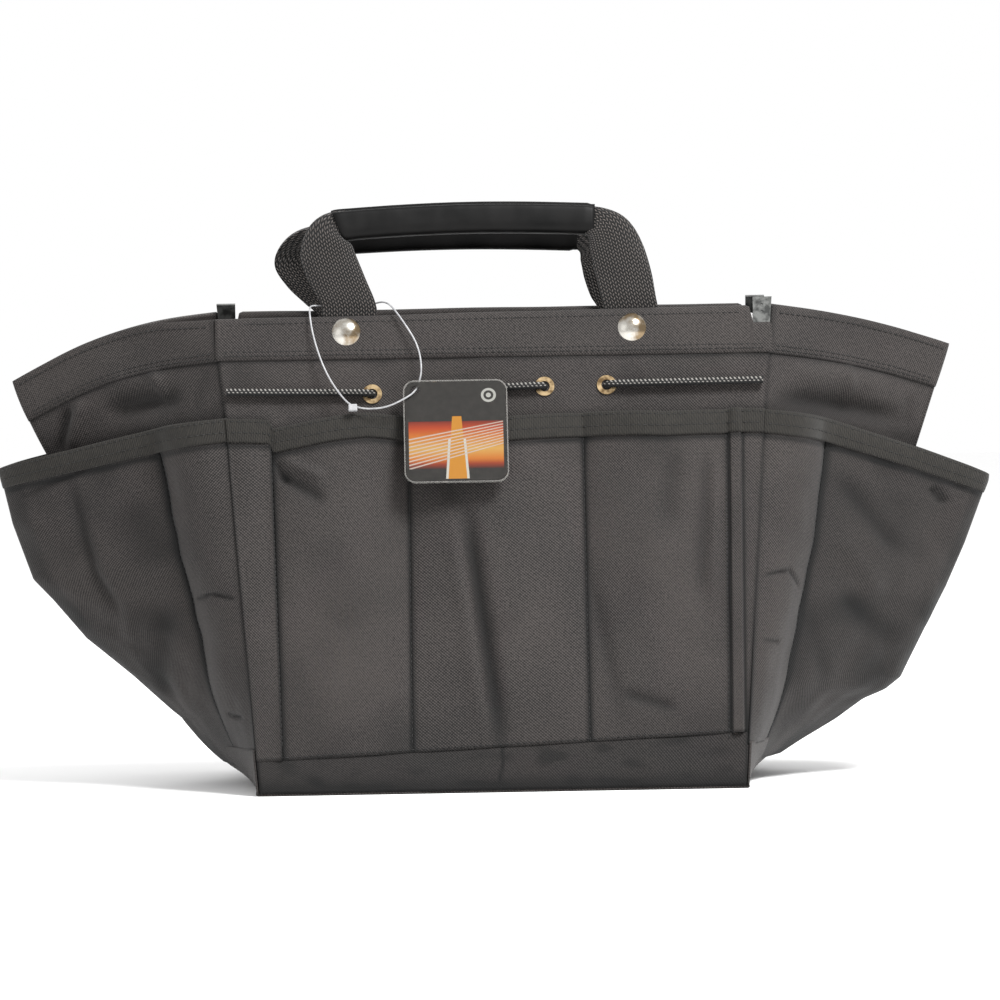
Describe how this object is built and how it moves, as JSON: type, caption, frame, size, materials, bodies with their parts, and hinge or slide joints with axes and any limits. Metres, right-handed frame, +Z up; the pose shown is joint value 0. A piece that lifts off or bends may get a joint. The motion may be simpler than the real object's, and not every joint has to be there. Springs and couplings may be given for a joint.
{
  "type": "garden tool bag",
  "caption": "Open-topped woven fabric garden tool bag with webbing handles, framed rims, outer pockets all round, an elastic tool cord, eyelets and a swing tag.",
  "frame": {"origin": "middle of the flat bottom, on the surface the bag stands on", "axes": "+Z up, +X along the bag's length, -Y towards the front wall that carries the swing tag"},
  "size_m": [0.5598, 0.2348, 0.3305],
  "materials": {
    "body_cloth": "matt oxford weave",
    "binding_tape": "ribbed twill tape",
    "handle_webbing": "coarse woven webbing",
    "grip_sleeve": "soft satin sleeve",
    "frame_steel": "plain strip",
    "bar_cap_metal": "dull folded sheet",
    "rivet_nickel": "polished nickel, brassy at the rim",
    "eyelet_brass": "antique brass",
    "elastic_braid": "black braid with pale flecks",
    "board": "pressed board",
    "tag_print": "printed card",
    "tag_film": "clear film",
    "loop_nylon": "translucent nylon"
  },
  "bodies": {
    "base": {"base_panel": "body_cloth", "base_board": "board", "left_end_panel": "body_cloth", "left_end_hem": "body_cloth", "left_end_bottom_band": "body_cloth", "left_end_front_pocket": "body_cloth", "left_end_crease_pocket": "body_cloth", "left_end_rear_pocket": "body_cloth", "left_end_pocket_binding": "binding_tape", "right_end_panel": "body_cloth", "right_end_hem": "body_cloth", "right_end_bottom_band": "body_cloth", "right_end_front_pocket": "body_cloth", "right_end_crease_pocket": "body_cloth", "right_end_rear_pocket": "body_cloth", "right_end_pocket_binding": "binding_tape"},
    "front_wall": {"front_panel": "body_cloth", "front_hem": "body_cloth", "front_frame_bar": "frame_steel", "front_bar_end_caps": "bar_cap_metal", "front_pocket_left": "body_cloth", "front_pocket_middle": "body_cloth", "front_pocket_right": "body_cloth", "front_pocket_binding": "binding_tape", "front_pocket_side_strips": "body_cloth", "front_bottom_band": "body_cloth", "front_rivet_caps": "rivet_nickel", "front_rivet_washers": "rivet_nickel", "front_handle_anchors": "handle_webbing", "front_grommets": "eyelet_brass", "front_grommet_washers": "eyelet_brass", "front_elastic_cord": "elastic_braid", "tag_loop": "loop_nylon", "tag_loop_lock": "loop_nylon"},
    "rear_wall": {"rear_panel": "body_cloth", "rear_hem": "body_cloth", "rear_frame_bar": "frame_steel", "rear_bar_end_caps": "bar_cap_metal", "rear_pocket_left": "body_cloth", "rear_pocket_middle": "body_cloth", "rear_pocket_right": "body_cloth", "rear_pocket_binding": "binding_tape", "rear_pocket_side_strips": "body_cloth", "rear_bottom_band": "body_cloth", "rear_rivet_caps": "rivet_nickel", "rear_rivet_washers": "rivet_nickel", "rear_handle_anchors": "handle_webbing", "rear_grommets": "eyelet_brass", "rear_grommet_washers": "eyelet_brass", "rear_elastic_cord": "elastic_braid"},
    "front_handle": {"front_handle_webbing": "handle_webbing", "front_handle_grip": "grip_sleeve"},
    "rear_handle": {"rear_handle_webbing": "handle_webbing", "rear_handle_grip": "grip_sleeve"},
    "swing_tag": {"tag_card": "tag_print", "tag_sleeve": "tag_film"}
  },
  "joints": [
    {"name": "front_wall_lean", "type": "hinge", "parent": "base", "child": "front_wall", "pos_m": [0, -0.117, 0], "axis": [1, 0, 0], "range_deg": [0, 8]},
    {"name": "rear_wall_lean", "type": "hinge", "parent": "base", "child": "rear_wall", "pos_m": [0, 0.117, 0], "axis": [-1, 0, 0], "range_deg": [0, 8]},
    {"name": "front_handle_fold", "type": "hinge", "parent": "front_wall", "child": "front_handle", "pos_m": [0, -0.04672, 0.27001], "axis": [1, 0, 0], "range_deg": [0, 145]},
    {"name": "rear_handle_fold", "type": "hinge", "parent": "rear_wall", "child": "rear_handle", "pos_m": [0, 0.04672, 0.27001], "axis": [-1, 0, 0], "range_deg": [0, 145]},
    {"name": "tag_swing", "type": "hinge", "parent": "front_wall", "child": "swing_tag", "pos_m": [-0.045, -0.06925, 0.22331], "axis": [0, -0.9205, 0.3907], "range_deg": [-45, 20]}
  ]
}
